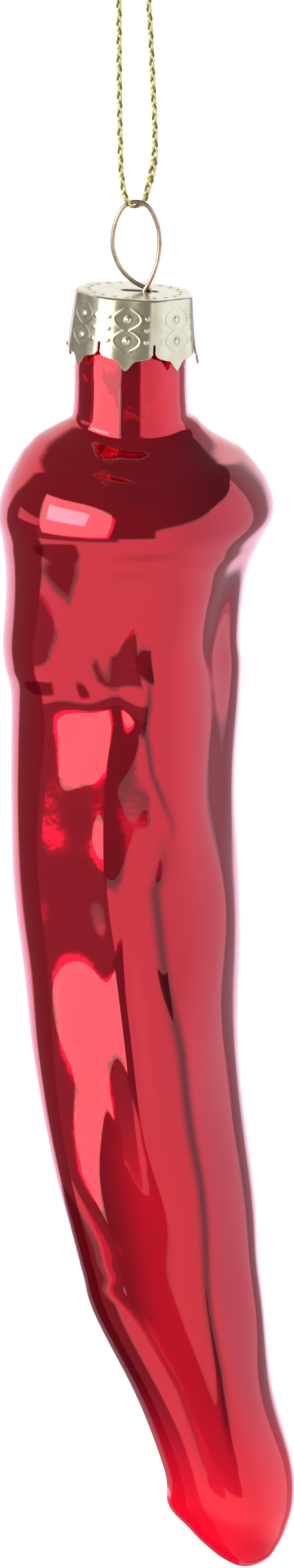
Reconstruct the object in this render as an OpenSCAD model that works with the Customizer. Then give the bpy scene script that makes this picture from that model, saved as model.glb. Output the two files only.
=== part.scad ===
// Hanging glass chili pepper: a blown, silvered pepper with a stamped cap,
// a sprung wire ring and a tied cord loop. Millimetres, +Z up, the front faces -Y.
// The origin is just under the knot, where the loop hangs on its twig or hook.

/* [Pepper] */
// Length of the pepper from the foot of its neck to its tip
pepper_len = 134.5; // [120:0.5:155]
// Width across the shoulders
pepper_w = 31.2; // [28:0.2:36]
// Depth of a section as a share of its width
pepper_depth = 0.94; // [0.8:0.02:1.1]
// Thickness of the blown wall
glass_wall = 1.1; // [1:0.05:1.4]
// Height of the step at the long fold down the front
fold_step = 0.6; // [0:0.1:1]

/* [Neck] */
// Outer diameter of the neck
neck_d = 13; // [12.6:0.1:13.2]
// Outer diameter at the fire-polished rim
neck_rim_d = 11.2; // [11:0.1:11.4]
// Length of the neck
neck_len = 12.25; // [11:0.25:14]
// Thickness of the neck's wall
neck_wall = 0.9; // [0.8:0.05:1]

/* [Cap] */
// Number of stamped tabs round the cap
cap_tabs = 7; // [6:1:8]
// Diameter over the corners at the top
cap_top_d = 13.8; // [13.6:0.1:14.4]
// Diameter over the corners at the skirt
cap_skirt_d = 15.4; // [15:0.1:16]
// Height from the top to the points of the tabs
cap_h = 8.2; // [7.8:0.1:9]
// Thickness of the sheet
cap_sheet = 0.25; // [0.2:0.05:0.3]
// Lean of the cap on the neck, in degrees
cap_tilt = 3; // [0:0.5:4]

/* [Wire ring] */
// Diameter of the wire
wire_d = 0.5; // [0.4:0.05:0.6]
// Half width of the oval ring, at the middle of the wire
ring_half = 2.7; // [2.5:0.1:3]
// Height of the crown over the place where the two strands cross
ring_h = 10; // [9:0.2:12]
// Straight length of each leg in the neck
leg_len = 9.5; // [7:0.5:10]

/* [Cord] */
// Diameter of the cord
cord_d = 0.65; // [0.5:0.05:0.7]
// Drop from the knot to the crown of the ring
cord_drop = 38.7; // [38.7:0.1:38.7]
// Length of the two cut tails above the knot
tail_len = 3.2; // [2:0.2:6]

/* [Hidden] */
$fn = 48;

// Heights of the joints between the pieces
crown_z = -cord_drop;
cross_z = crown_z - ring_h;
cap_z = cross_z - 0.3;
rim_gap = 0.2 + neck_rim_d / 2 * sin(cap_tilt);
rim_z = cap_z - cap_sheet - rim_gap;
foot_z = rim_z - neck_len;

// Sections of the pepper, drawn for a pepper 134.5 long and 31.2 wide:
// drop below the foot of the neck, sideways sway, half width, forward curl
drawn_len = 134.5;
drawn_w = 31.2;
sections = [
  [0, 0, 6.6, 0], [1.2, 0.1, 6.7, 0], [1.9, 0.6, 7.3, 0], [2.7, -0.2, 9.4, 0], [3.5, -0.4, 10.6, 0],
  [4.6, -0.1, 12, 0], [5.7, 0.25, 13, 0], [9, 0.6, 14.9, 0], [12.5, 0.6, 15.6, 0], [16, 0.1, 14.6, 0],
  [20, -0.6, 13.8, 0], [27, -1.2, 13.8, 0], [30.5, -0.95, 13.75, 0], [35, -0.5, 13.2, 0],
  [46, -0.8, 13.3, 0], [58, -0.4, 12.9, 0.05], [69.9, 0.2, 12.2, 0.7], [81.5, 1.25, 11.55, 2.1],
  [94, 3.6, 10.5, 4.4], [99.7, 4.6, 9.95, 5.6], [104.4, 5.55, 9.6, 6.6], [113.8, 8.3, 8.1, 8.8],
  [122.2, 10.95, 7.4, 10.9], [126.9, 11.95, 6.75, 12], [130, 12.6, 5.5, 12.6],
  [132, 13.1, 4.1, 13], [133.55, 13.45, 2.5, 13.3], [134.5, 13.5, 0, 13.5]
];
last_section = len(sections) - 1;
ring_count = 72;
side_count = 44;

// Folds of the skin: each point is drop below the foot, degrees round from the front.
// The skin steps up over fold_edge degrees and dies away to the right over fold_fade degrees.
upper_fold = [[30, 13], [36, 9], [41, 13], [47, 24]];
lower_fold = [[51, 19], [55, 14], [66, 19], [74, 25], [89, 27], [97, 24], [110.5, 18], [119, 10]];
upper_share = 0.6;
fold_edge = 1.1;
fold_fade = 32;
fold_end = 3;

// Swellings and dents of the skin: drop, degrees, height, half length, half angle
lumps = [
  [14, 52, 0.5, 6, 30], [15.5, -20, 1.1, 11, 45], [33, -22, -1.1, 7, 20], [25, 60, -0.9, 7, 16],
  [40, 62, -0.6, 9, 14], [58, -30, 0.5, 9, 28], [22, 150, 0.5, 12, 26], [62, 205, -0.5, 16, 18],
  [86, 140, 0.4, 14, 24], [90, -36, 2.8, 22, 32], [127.2, -88, 0.4, 2, 28], [128.8, -40, -0.4, 3, 26],
  [4.5, -130, -1.5, 3, 34]
];

// Catmull-Rom value at share t between the second and third of four stations
function spline(a, b, c, d, t) =
  b + t * (c - a + t * (2 * a - 5 * b + 4 * c - d + t * (3 * (b - c) + d - a))) / 2;
function row(list, i) = list[max(0, min(len(list) - 1, i))];
function along(list, u) =
  let (i = min(floor(u), len(list) - 2))
  spline(row(list, i - 1), row(list, i), row(list, i + 1), row(list, i + 2), u - i);

// A section at station u: height, sway, half width, forward curl
function section_at(u) =
  let (s = along(sections, u))
  [foot_z - s[0] * pepper_len / drawn_len, s[1], max(0, s[2]) * pepper_w / drawn_w, s[3]];

// Outward lean of the side at station u: share across, share up
function lean_at(u) =
  let (p = section_at(max(0, u - 0.05)), q = section_at(min(last_section, u + 0.05)))
  let (across = p[0] - q[0], up = q[2] - p[2])
  [across, up] / max(0.0001, norm([across, up]));

function turn_between(a, b) = (a - b + 540) % 360 - 180;
function bell(x) = exp(-x * x);

// Height of a fold's step; at its two ends the fold runs out over twice fold_end
function fold_share(fold, drop) =
  let (inside = min(drop - fold[0][0], fold[len(fold) - 1][0] - drop))
  max(0, min(1, (inside + fold_end) / (2 * fold_end)));
function fold_at(fold, drop, angle) =
  let (away = turn_between(angle, lookup(drop, fold)))
  fold_step * fold_share(fold, drop) / (1 + exp(-away / fold_edge)) * exp(-max(0, away) / fold_fade);
function lump_at(lump, drop, angle) =
  lump[2] * bell((drop - lump[0]) / lump[3]) * bell(turn_between(angle, lump[1]) / lump[4]);
function sum(list, i = 0) = i < len(list) ? list[i] + sum(list, i + 1) : 0;
function skin_at(drop, angle) =
  upper_share * fold_at(upper_fold, drop, angle) + fold_at(lower_fold, drop, angle)
  + sum([for (lump = lumps) lump_at(lump, drop, angle)]);

// A point of the glass, sunk below the skin, at station u and degrees round from the front
function glass_point(u, angle, sunk) =
  let (s = section_at(u), lean = lean_at(u))
  let (drop = (foot_z - s[0]) * drawn_len / pepper_len)
  let (out = skin_at(drop, angle) * min(1, s[2] / 6) * min(1, drop / 6) - sunk)
  let (half = max(0, s[2] + out * lean[0]))
  let (depth = max(0, s[2] * depth_share(s[2]) + out * lean[0]))
  [s[1] + half * sin(angle), -s[3] - depth * cos(angle), s[0] + out * lean[1]];

// The neck is round, and the flattening comes in over the shoulders
function depth_share(half) = 1 + (pepper_depth - 1) * max(0, min(1, (half - neck_d / 2 - 0.5) / 4));

// Stations from the foot of the neck to just short of the tip
function station(i, count) = last_section * i / count;

module pepper_shell() {
  outer = [for (i = [0:ring_count - 1], k = [0:side_count - 1])
    glass_point(station(i, ring_count), 360 * k / side_count, 0)];
  inner_rings = ring_count / 2;
  inner_sides = side_count / 2;
  inner = [for (i = [0:inner_rings - 1], k = [0:inner_sides - 1])
    glass_point(station(i, inner_rings), 360 * k / inner_sides, glass_wall)];
  tip = section_at(last_section);
  poles = [[tip[1], -tip[3], tip[0]], [tip[1], -tip[3], tip[0] + glass_wall]];
  first_inner = len(outer);
  outer_pole = len(outer) + len(inner);
  inner_pole = outer_pole + 1;
  function o(i, k) = i * side_count + k % side_count;
  function n(i, k) = first_inner + i * inner_sides + k % inner_sides;
  outer_faces = [for (i = [0:ring_count - 2], k = [0:side_count - 1], half = [0, 1])
    half == 0 ? [o(i, k), o(i, k + 1), o(i + 1, k + 1)] : [o(i, k), o(i + 1, k + 1), o(i + 1, k)]];
  outer_end = [for (k = [0:side_count - 1]) [o(ring_count - 1, k), o(ring_count - 1, k + 1), outer_pole]];
  inner_faces = [for (i = [0:inner_rings - 2], k = [0:inner_sides - 1], half = [0, 1])
    half == 0 ? [n(i, k + 1), n(i, k), n(i + 1, k + 1)] : [n(i + 1, k + 1), n(i, k), n(i + 1, k)]];
  inner_end = [for (k = [0:inner_sides - 1]) [n(inner_rings - 1, k + 1), n(inner_rings - 1, k), inner_pole]];
  lip = [for (k = [0:inner_sides - 1], part = [0, 1, 2])
    part == 0 ? [o(0, 2 * k + 1), o(0, 2 * k), n(0, k)]
    : part == 1 ? [o(0, 2 * k + 1), n(0, k), n(0, k + 1)]
    : [o(0, 2 * k + 2), o(0, 2 * k + 1), n(0, k + 1)]];
  polyhedron(concat(outer, inner, poles), concat(outer_faces, outer_end, inner_faces, inner_end, lip));
}

// Tapered tube of the neck with a rounded rim, set 0.8 into the top of the pepper
module neck_tube() {
  rim_r = neck_rim_d / 2;
  root_z = foot_z - 0.8;
  taper_z = rim_z - 8;
  lip_z = rim_z - neck_wall / 2;
  rotate_extrude() {
    polygon([
      [neck_d / 2, root_z], [neck_d / 2, taper_z], [rim_r, lip_z],
      [rim_r - neck_wall, lip_z], [neck_d / 2 - neck_wall, taper_z], [neck_d / 2 - neck_wall, root_z]
    ]);
    translate([rim_r - neck_wall / 2, lip_z]) circle(d = neck_wall);
  }
}

module glass_pepper() {
  color("crimson") union() {
    pepper_shell();
    neck_tube();
  }
}

// The cap's form: a flaring round cup with one flat for each tab, drawn in by the given depth
tab_step = 360 / cap_tabs;
tab_turn = -6;
flat_depth = 0.4;
top_edge = 0.35;
module cap_form(drawn_in, height) {
  top_r = cap_top_d / 2 - drawn_in;
  skirt_r = top_r + (cap_skirt_d - cap_top_d) / 2 * height / cap_h;
  flare = atan((skirt_r - top_r) / height);
  reach = cap_skirt_d;
  difference() {
    rotate_extrude() polygon([
      [0, 0], [top_r - top_edge, 0], [top_r, -top_edge], [skirt_r, -height], [0, -height]
    ]);
    for (i = [0:cap_tabs - 1]) rotate(tab_turn + i * tab_step) translate([0, flat_depth - top_r, 0])
      rotate([-flare, 0, 0]) translate([-reach / 2, -reach, -2 * reach]) cube([reach, reach, 3 * reach]);
  }
}

// What is cut away below the lower edge of one tab: slits at the sides, shoulders, a centre point
tab_half = cap_skirt_d / 2 * sin(tab_step / 2);
slit_half = 0.16;
module tab_edge_cut() {
  shoulder = cap_h - 1.4;
  slit_top = cap_h * 0.62;
  edge = [
    [tab_half + slit_half, -slit_top], [tab_half - slit_half, -slit_top],
    [tab_half - slit_half - 0.1, 0.8 - shoulder], [tab_half - 0.55, 0.15 - shoulder],
    [tab_half - 1.1, -shoulder], [1.1, -shoulder - 0.25], [0.55, -shoulder - 0.8], [0.2, -cap_h + 0.12]
  ];
  last = len(edge) - 1;
  mirrored = [for (i = [last:-1:0]) [-edge[i][0], edge[i][1]]];
  floor_z = -cap_h - 1;
  rotate([90, 0, 0]) linear_extrude(cap_skirt_d)
    polygon(concat([[tab_half + slit_half, floor_z]], edge, mirrored, [[-tab_half - slit_half, floor_z]]));
}

// Stamped relief of one tab, on its flat: two lozenges one over the other, with a bead in each
bead_r = 0.45;
bead_h = 0.22;
lozenge_w = 3.2;
lozenge_h = 2.5;
ridge_w = 0.2;
ridge_h = 0.1;
relief_root = 0.1;
module lozenge(grow) {
  polygon([
    [lozenge_w / 2 + grow, 0], [0, lozenge_h / 2 + grow],
    [-lozenge_w / 2 - grow, 0], [0, -lozenge_h / 2 - grow]
  ]);
}
module tab_relief() {
  dome_r = (bead_r * bead_r + bead_h * bead_h) / (2 * bead_h);
  for (middle = [-0.28, -0.58] * cap_h) translate([0, relief_root, middle]) rotate([90, 0, 0]) {
    intersection() {
      translate([0, 0, relief_root + bead_h - dome_r]) sphere(r = dome_r, $fn = 24);
      translate([-dome_r, -dome_r, 0]) cube(2 * dome_r);
    }
    linear_extrude(relief_root + ridge_h) difference() {
      lozenge(0);
      lozenge(-ridge_w);
    }
  }
}

slot_l = 4.4;
slot_w = 1.4;
slot_x = 0.5;
cap_x = 0.5;
module metal_cap() {
  top_r = cap_top_d / 2;
  flare = atan((cap_skirt_d - cap_top_d) / 2 / cap_h);
  color("goldenrod") translate([cap_x, 0, cap_z]) rotate([0, cap_tilt, 0]) union() {
    difference() {
      cap_form(0, cap_h);
      translate([0, 0, -cap_sheet]) cap_form(cap_sheet, cap_h + 1);
      for (i = [0:cap_tabs - 1]) rotate(tab_turn + i * tab_step) tab_edge_cut();
      translate([slot_x, 0, -1]) {
        for (side = [-1, 1]) translate([side * (slot_l - slot_w) / 2, 0, 0]) cylinder(h = 2, d = slot_w);
        translate([(slot_w - slot_l) / 2, -slot_w / 2, 0]) cube([slot_l - slot_w, slot_w, 2]);
      }
    }
    for (i = [0:cap_tabs - 1]) rotate(tab_turn + i * tab_step) translate([0, flat_depth - top_r, 0])
      rotate([-flare, 0, 0]) tab_relief();
  }
}

// The ring is an oval of arcs: a crown, a side that swings out to the full width, and a side that
// swings in to the crossing. Each strand below the crown is a walk in its own plane:
// pieces of [length, turn in degrees, steps], a positive turn bending inwards
crown_r = 2;
crown_half = 60;
ring_x = 0.6;
cross_x = 1.7;
right_lean = 22;
left_lean = 10;
leg_bend_r = 1;
function arc_len(r, turn) = r * abs(turn) * PI / 180;
function stride(heading, length, turn) =
  turn == 0 ? length * [cos(heading), sin(heading)]
  : let (r = length / (turn * PI / 180))
    r * [sin(heading + turn) - sin(heading), cos(heading) - cos(heading + turn)];
function walk(pieces, k = 0, at = [0, 0], heading = 0) =
  k == len(pieces) ? [[at[0], at[1], heading]]
  : let (length = pieces[k][0], turn = pieces[k][1], steps = pieces[k][2])
    concat(
      [for (j = [0:steps - 1])
        let (p = at + stride(heading, length * j / steps, turn * j / steps))
        [p[0], p[1], heading + turn * j / steps]],
      walk(pieces, k + 1, at + stride(heading, length, turn), heading + turn));

// Out from the end of the crown to the full width, in to the crossing, then out again along the leg.
// Distances are down from the middle of the crown's arc and in from the full width.
out_turn = 90 - crown_half;
crown_end = [-crown_r * cos(crown_half), ring_half - crown_r * sin(crown_half)];
out_r = crown_end[1] / (1 - cos(out_turn));
function strand_walk(inward, lean) =
  let (fall = ring_h - crown_r - crown_end[0] - out_r * sin(out_turn))
  let (in_r = (inward * inward + fall * fall) / (2 * inward), sweep = asin(fall / in_r))
  let (start = crown_end - strand_lap * [cos(out_turn), -sin(out_turn)], back = sweep - lean)
  walk([
    [strand_lap, 0, 1], [arc_len(out_r, out_turn), out_turn, 5], [arc_len(in_r, sweep), sweep, 8],
    [arc_len(leg_bend_r, back), -back, 6], [leg_len, 0, 2]
  ], 0, start, -out_turn);

// Faces of a tube of rings 0 to last, with its two flat ends
function tube_faces(last, sides) = concat(
  [for (i = [0:last - 1], k = [0:sides - 1], half = [0, 1])
    let (a = i * sides + k, b = i * sides + (k + 1) % sides)
    half == 0 ? [a, b, a + sides] : [b, b + sides, a + sides]],
  [[for (k = [sides - 1:-1:0]) k], [for (k = [0:sides - 1]) last * sides + k]]);

// The strands lap the ends of the crown, and pass in front of and behind each other at the crossing
strand_lap = 0.1;
strand_sides = 10;
strand_d = wire_d + 0.03;
cross_gap = 0.62 * wire_d;
module wire_strand(side, inward, lean) {
  steps = strand_walk(inward, lean);
  last = len(steps) - 1;
  points = [for (p = steps)
    let (aside = -side * cross_gap * max(0, min(1, p[0] / (ring_h - crown_r))))
    for (k = [0:strand_sides - 1])
      let (a = 360 * k / strand_sides, out = strand_d / 2 * cos(a))
      [side * (ring_half - p[1] + out * cos(p[2])),
        aside + strand_d / 2 * sin(a),
        out * sin(p[2]) - p[0]]];
  faces = tube_faces(last, strand_sides);
  polyhedron(points, side > 0 ? faces : [for (f = faces) [for (i = [len(f) - 1:-1:0]) f[i]]]);
}

// A round crown that runs over the cord, with a strand down from each end of it
module hanger_wire() {
  color("rosybrown") translate([ring_x, 0, crown_z - crown_r]) union() {
    rotate([90, 0, 0]) rotate(out_turn) rotate_extrude(angle = 2 * crown_half)
      translate([crown_r, 0]) circle(d = wire_d);
    wire_strand(1, ring_half + ring_x - cross_x, right_lean);
    wire_strand(-1, ring_half + cross_x - ring_x, left_lean);
  }
}

// Route of the cord from the knot down the left strand, under the crown and up the right strand
cord_route = [
  [-0.35, -0.05, 0.3], [-0.6, -0.15, -2], [-0.95, -0.3, -5], [-1.22, -0.45, -9], [-1.33, -0.6, -14],
  [-1.34, -0.75, -19.5], [-1.3, -0.88, -24.5], [-1.26, -1, -28.5], [-1.22, -1.12, -31.7],
  [-1.15, -1.2, -34], [-1.02, -1.25, -35.75], [-0.84, -1.24, -37], [-0.61, -1.15, -38],
  [-0.36, -1.02, -38.65], [-0.07, -0.83, -39.1], [0.28, -0.48, -39.41], [0.66, 0, -39.53],
  [1.04, 0.48, -39.41], [1.36, 0.83, -39.1], [1.59, 1.02, -38.65], [1.78, 1.15, -38],
  [2.03, 1.24, -37], [2.37, 1.25, -35.75], [2.68, 1.2, -34], [2.78, 1.12, -31.7],
  [2.7, 1, -28.5], [2.5, 0.88, -24.5], [2.28, 0.75, -19.5], [1.92, 0.6, -14], [1.45, 0.45, -9],
  [1.02, 0.3, -5], [0.62, 0.15, -2], [0.35, 0.05, 0.3]
];
cord_rings = 78;
cord_sides = 8;

function cord_point(i) = along(cord_route, (len(cord_route) - 1) * i / cord_rings);
function unit(v) = v / norm(v);
function cord_heading(i) = unit(cord_point(min(cord_rings, i + 0.1)) - cord_point(max(0, i - 0.1)));

// The cord lies close to one upright plane, so a level direction square to it turns the sections
cord_side = unit([-1.4, 1, 0]);
function cord_ring(i) =
  let (heading = cord_heading(i), across = unit(cross(heading, cord_side)), level = cross(across, heading))
  [for (k = [0:cord_sides - 1])
    let (a = 360 * k / cord_sides)
    cord_point(i) + cord_d / 2 * (cos(a) * across + sin(a) * level)];

module cord_loop() {
  points = [for (i = [0:cord_rings]) each cord_ring(i)];
  color("gold") polyhedron(points, tube_faces(cord_rings, cord_sides));
}

// The knot: three drawn-up wraps round the two strands, with the cut tails spread above
wraps = 3;
wrap_r = 0.58;
wrap_step = 0.56;
module cord_knot() {
  height = wraps * wrap_step;
  color("gold") union() {
    rotate_extrude() {
      square([wrap_r, height]);
      for (i = [0:wraps - 1]) translate([wrap_r, (i + 0.5) * wrap_step]) circle(d = cord_d);
    }
    for (side = [-1, 1])
      translate([side * 0.3, 0, height - 0.3]) rotate([0, side * 22, 0]) cylinder(h = tail_len + 0.3, d = cord_d);
  }
}

glass_pepper();
metal_cap();
hanger_wire();
cord_loop();
cord_knot();
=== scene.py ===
import math
import bpy
import numpy as np
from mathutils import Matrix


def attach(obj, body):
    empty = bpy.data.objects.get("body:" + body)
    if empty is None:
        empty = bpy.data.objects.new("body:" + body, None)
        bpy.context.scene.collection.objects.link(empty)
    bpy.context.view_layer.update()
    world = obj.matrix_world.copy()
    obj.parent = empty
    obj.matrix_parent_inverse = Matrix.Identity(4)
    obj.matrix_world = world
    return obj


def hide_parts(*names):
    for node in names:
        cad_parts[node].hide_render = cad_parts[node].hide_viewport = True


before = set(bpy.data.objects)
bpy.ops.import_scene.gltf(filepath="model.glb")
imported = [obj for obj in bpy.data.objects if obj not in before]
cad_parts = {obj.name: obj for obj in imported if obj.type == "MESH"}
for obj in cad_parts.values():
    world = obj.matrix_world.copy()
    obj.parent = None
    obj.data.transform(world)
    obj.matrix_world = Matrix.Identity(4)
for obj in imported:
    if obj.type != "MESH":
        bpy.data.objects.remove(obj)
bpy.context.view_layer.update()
mm = 0.001


# One number that flows through a node tree; sums and products of it add Math nodes
class Flow:
    def __init__(self, tree, socket):
        self.tree = tree
        self.socket = socket

    def maths(self, operation, *values):
        node = self.tree.nodes.new("ShaderNodeMath")
        node.operation = operation
        for entry, value in zip(node.inputs, values):
            feed(self.tree, entry, value)
        return Flow(self.tree, node.outputs[0])

    def __add__(self, other):
        return self.maths("ADD", self, other)

    def __sub__(self, other):
        return self.maths("SUBTRACT", self, other)

    def __rsub__(self, other):
        return self.maths("SUBTRACT", other, self)

    def __mul__(self, other):
        return self.maths("MULTIPLY", self, other)

    def __pow__(self, other):
        return self.maths("POWER", self, other)

    def __neg__(self):
        return self.maths("MULTIPLY", self, -1)

    __radd__ = __add__
    __rmul__ = __mul__

    def least(self, other):
        return self.maths("MINIMUM", self, other)

    def most(self, other):
        return self.maths("MAXIMUM", self, other)

    # Another output of the same node
    def pick(self, output):
        return Flow(self.tree, self.socket.node.outputs[output])

    # Share from 0 to 1 as the number goes from low to high, eased at both ends
    def rise(self, low, high):
        node = self.tree.nodes.new("ShaderNodeMapRange")
        node.interpolation_type = "SMOOTHSTEP"
        for entry, value in (("Value", self), ("From Min", low), ("From Max", high)):
            feed(self.tree, node.inputs[entry], value)
        return Flow(self.tree, node.outputs[0])

    # 1 between low and high, with an eased edge that wide on either side of each
    def band(self, low, high, edge):
        return self.rise(low - edge, low + edge) * (1 - self.rise(high - edge, high + edge))


# Link a flow to a socket, or set the socket to a plain value
def feed(tree, entry, value):
    if isinstance(value, Flow):
        tree.links.new(value.socket, entry)
    else:
        entry.default_value = value


# The node tree of one finish, or of the world
class Bench:
    def __init__(self, owner):
        owner.use_nodes = True
        self.tree = owner.node_tree
        self.tree.nodes.clear()

    # Any node: its type, its settings (set first), then values or links for its sockets
    def node(self, kind, settings=None, sockets=None, out=0):
        made = self.tree.nodes.new(kind)
        for key, value in (settings or {}).items():
            setattr(made, key, value)
        for key, value in (sockets or {}).items():
            feed(self.tree, made.inputs[key], value)
        return Flow(self.tree, made.outputs[out]) if made.outputs else None

    # Object coordinates
    def place(self):
        return self.node("ShaderNodeTexCoord").pick("Object")

    # A number painted on the piece's points
    def painted(self, name):
        return self.node("ShaderNodeAttribute", {"attribute_name": name}).pick("Fac")

    def xyz(self, vector):
        split = self.node("ShaderNodeSeparateXYZ", None, {"Vector": vector})
        return split, split.pick(1), split.pick(2)

    # Colour a where share is 0, colour b where it is 1
    def blend(self, share, a, b):
        first, second = (c if isinstance(c, Flow) else (*c, 1) for c in (a, b))
        return self.node("ShaderNodeMix", {"data_type": "RGBA"}, {0: share, 6: first, 7: second}, 2)

    def noise(self, vector, scale, detail=2.0, roughness=0.5, distortion=0.0):
        return self.node("ShaderNodeTexNoise", None, {
            "Vector": vector, "Scale": scale, "Detail": detail, "Roughness": roughness,
            "Distortion": distortion})

    def stretched(self, vector, scale):
        return self.node("ShaderNodeMapping", None, {"Vector": vector, "Scale": scale})

    # Bump of a height in metres
    def bump(self, height):
        return self.node("ShaderNodeBump", None, {"Height": height, "Distance": 1.0, "Strength": 1.0})

    def surface(self, **sockets):
        named = {key.replace("_", " "): value for key, value in sockets.items()}
        return self.node("ShaderNodeBsdfPrincipled", None, named)

    def end(self, shader, kind="ShaderNodeOutputMaterial"):
        self.node(kind, None, {"Surface": shader})


# A material and the bench for its nodes
def newFinish(name):
    finish = bpy.data.materials.new(name)
    return finish, Bench(finish)


# Quads of a grid, row by row, with the corners' grid places for UVs; its last column joins its first
def gridQuads(rows, cols):
    r, c = np.meshgrid(np.arange(rows - 1), np.arange(cols), indexing="ij")
    nxt = (c + 1) % cols
    quads = np.stack([r * cols + c, r * cols + nxt, (r + 1) * cols + nxt, (r + 1) * cols + c], -1)
    u = np.stack([c, c + 1, c + 1, c], -1) / cols
    v = np.stack([r, r, r + 1, r + 1], -1) / (rows - 1)
    return quads.reshape(-1, 4), np.stack([u, v], -1).reshape(-1, 4, 2)


# Triangles from the first row to one pole and from the last row to the other
def poleTris(rows, cols, firstPole, lastPole):
    c = np.arange(cols)
    nxt = (c + 1) % cols
    last = (rows - 1) * cols
    return np.concatenate([
        np.stack([np.full(cols, firstPole), nxt, c], -1),
        np.stack([last + c, last + nxt, np.full(cols, lastPole)], -1)])


# Points in millimetres and faces become a smooth object at the origin, in metres
def addPiece(name, points, quads, tris=None, quadUv=None, finishes=(), faceFinish=None):
    mesh = bpy.data.meshes.new(name)
    faces = quads.tolist() + ([] if tris is None else tris.tolist())
    mesh.from_pydata((points * mm).tolist(), [], faces)
    if quadUv is not None:
        vertexUv = np.zeros((len(points), 2))
        vertexUv[quads.reshape(-1)] = quadUv.reshape(-1, 2)
        allUv = np.concatenate([quadUv.reshape(-1, 2), vertexUv[tris.reshape(-1)]])
        mesh.uv_layers.new(name="UVMap").data.foreach_set("uv", allUv.astype(np.float32).ravel())
    mesh.polygons.foreach_set("use_smooth", np.full(len(faces), True))
    for finish in finishes:
        mesh.materials.append(finish)
    if faceFinish is not None:
        mesh.polygons.foreach_set("material_index", faceFinish.astype(np.int32))
    mesh.update()
    piece = bpy.data.objects.new(name, mesh)
    bpy.context.collection.objects.link(piece)
    return piece


# A number at each point of a piece, for its finish to read
def paint(piece, name, values):
    layer = piece.data.attributes.new(name, "FLOAT", "POINT")
    layer.data.foreach_set("value", np.asarray(values, np.float32))


# Uniform Catmull-Rom curve through the rows, at each station number in u
def splineThrough(rows, u):
    rows = np.asarray(rows, float)
    i = np.clip(np.floor(u).astype(int), 0, len(rows) - 2)
    t = (u - i)[:, None]
    a, b, c, d = (rows[np.clip(i + k, 0, len(rows) - 1)] for k in (-1, 0, 1, 2))
    return b + t * (c - a + t * (2 * a - 5 * b + 4 * c - d + t * (3 * (b - c) + d - a))) / 2


# Length along a line of points, from its first point
def runLength(points):
    return np.concatenate([[0], np.cumsum(np.linalg.norm(np.diff(points, axis=0), axis=1))])


# Evenly spaced points along a dense line
def evenly(points, count):
    run = runLength(points)
    at = np.linspace(0, run[-1], count)
    return np.stack([np.interp(at, run, points[:, k]) for k in range(3)], -1)


# Two directions square to a line at each of its points, the first as near as can be to the hint
def squareTo(path, hint):
    heading = np.gradient(path, axis=0)
    heading /= np.linalg.norm(heading, axis=1, keepdims=True)
    level = np.asarray(hint, float) - heading * (heading @ np.asarray(hint, float))[:, None]
    level /= np.linalg.norm(level, axis=1, keepdims=True)
    return level, np.cross(heading, level)


# A round profile carried along a path: centre + radius (cos a level + sin a up), with fans over its two ends
def tube(path, radius, sides, hint):
    level, up = squareTo(path, hint)
    a = 2 * np.pi * np.arange(sides) / sides
    r = np.broadcast_to(np.asarray(radius, float), (len(path),))[:, None, None]
    rim = np.cos(a)[None, :, None] * level[:, None] + np.sin(a)[None, :, None] * up[:, None]
    points = np.concatenate([(path[:, None] + r * rim).reshape(-1, 3), path[:1], path[-1:]])
    quads, uv = gridQuads(len(path), sides)
    uv[..., 1] *= runLength(path)[-1]
    body = len(path) * sides
    return points, quads, poleTris(len(path), sides, body, body + 1), uv


# Several tubes as one set of points and faces
def together(parts):
    shift = np.cumsum([0] + [len(p[0]) for p in parts[:-1]])
    return (np.concatenate([p[0] for p in parts]),
            np.concatenate([p[1] + s for p, s in zip(parts, shift)]),
            np.concatenate([p[2] + s for p, s in zip(parts, shift)]),
            np.concatenate([p[3] for p in parts]))


# Camera: a long lens in front and a little above, looking down by the tilt
cameraSetup = {
    "x": 1.85, "y": -1600.0, "z": 218.748, "tilt": 11.5, "sensor": 36.0, "lensPixels": 21919.17,
    "frameHeight": 2432, "reach": 100}
eye = bpy.data.cameras.new("eye")
eye.sensor_fit = "VERTICAL"
eye.sensor_height = cameraSetup["sensor"]
eye.lens = cameraSetup["sensor"] * cameraSetup["lensPixels"] / cameraSetup["frameHeight"]
eye.clip_end = cameraSetup["reach"]
eyeObject = bpy.data.objects.new("eye", eye)
eyeObject.location = (cameraSetup["x"] * mm, cameraSetup["y"] * mm, cameraSetup["z"] * mm)
eyeObject.rotation_euler = (math.radians(90 - cameraSetup["tilt"]), 0, 0)
bpy.context.collection.objects.link(eyeObject)
bpy.context.scene.camera = eyeObject
bpy.context.scene.view_settings.view_transform = "Standard"
print("camera set")


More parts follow.
